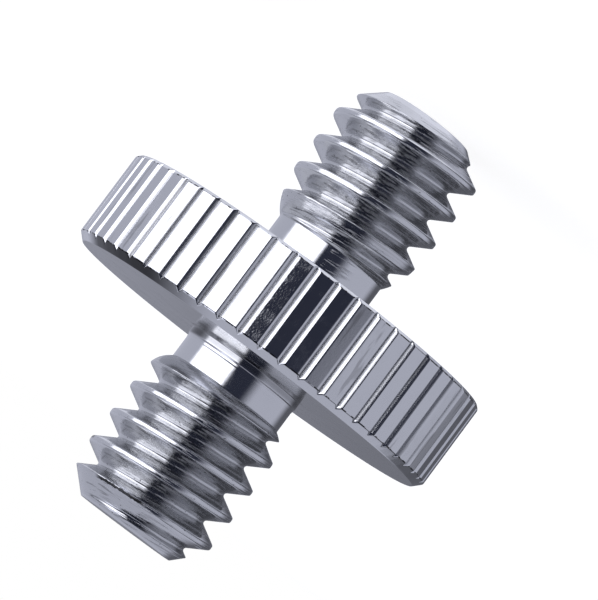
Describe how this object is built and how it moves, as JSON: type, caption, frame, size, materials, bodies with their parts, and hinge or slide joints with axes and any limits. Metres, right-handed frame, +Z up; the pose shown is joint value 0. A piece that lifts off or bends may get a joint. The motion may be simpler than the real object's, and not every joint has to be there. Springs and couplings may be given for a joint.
{
  "type": "threaded adapter bolt",
  "caption": "Double-ended screw for camera gear: a coarse-threaded stud on each side of a round flange with a fluted rim for turning it by hand.",
  "frame": {"origin": "centre of the lower stud's flat end, on which the bolt stands", "axes": "+Z up the bolt's axis, from the lower stud through the flange to the upper stud; one flute of the rim is centred on +Y and one on -Y"},
  "size_m": [0.016, 0.016, 0.0191],
  "materials": {
    "plating": "bright nickel or chrome plating over turned steel, polished on the flange face, finely lined on the threads"
  },
  "bodies": {
    "root": {"adapter_bolt": "plating"}
  },
  "joints": []
}
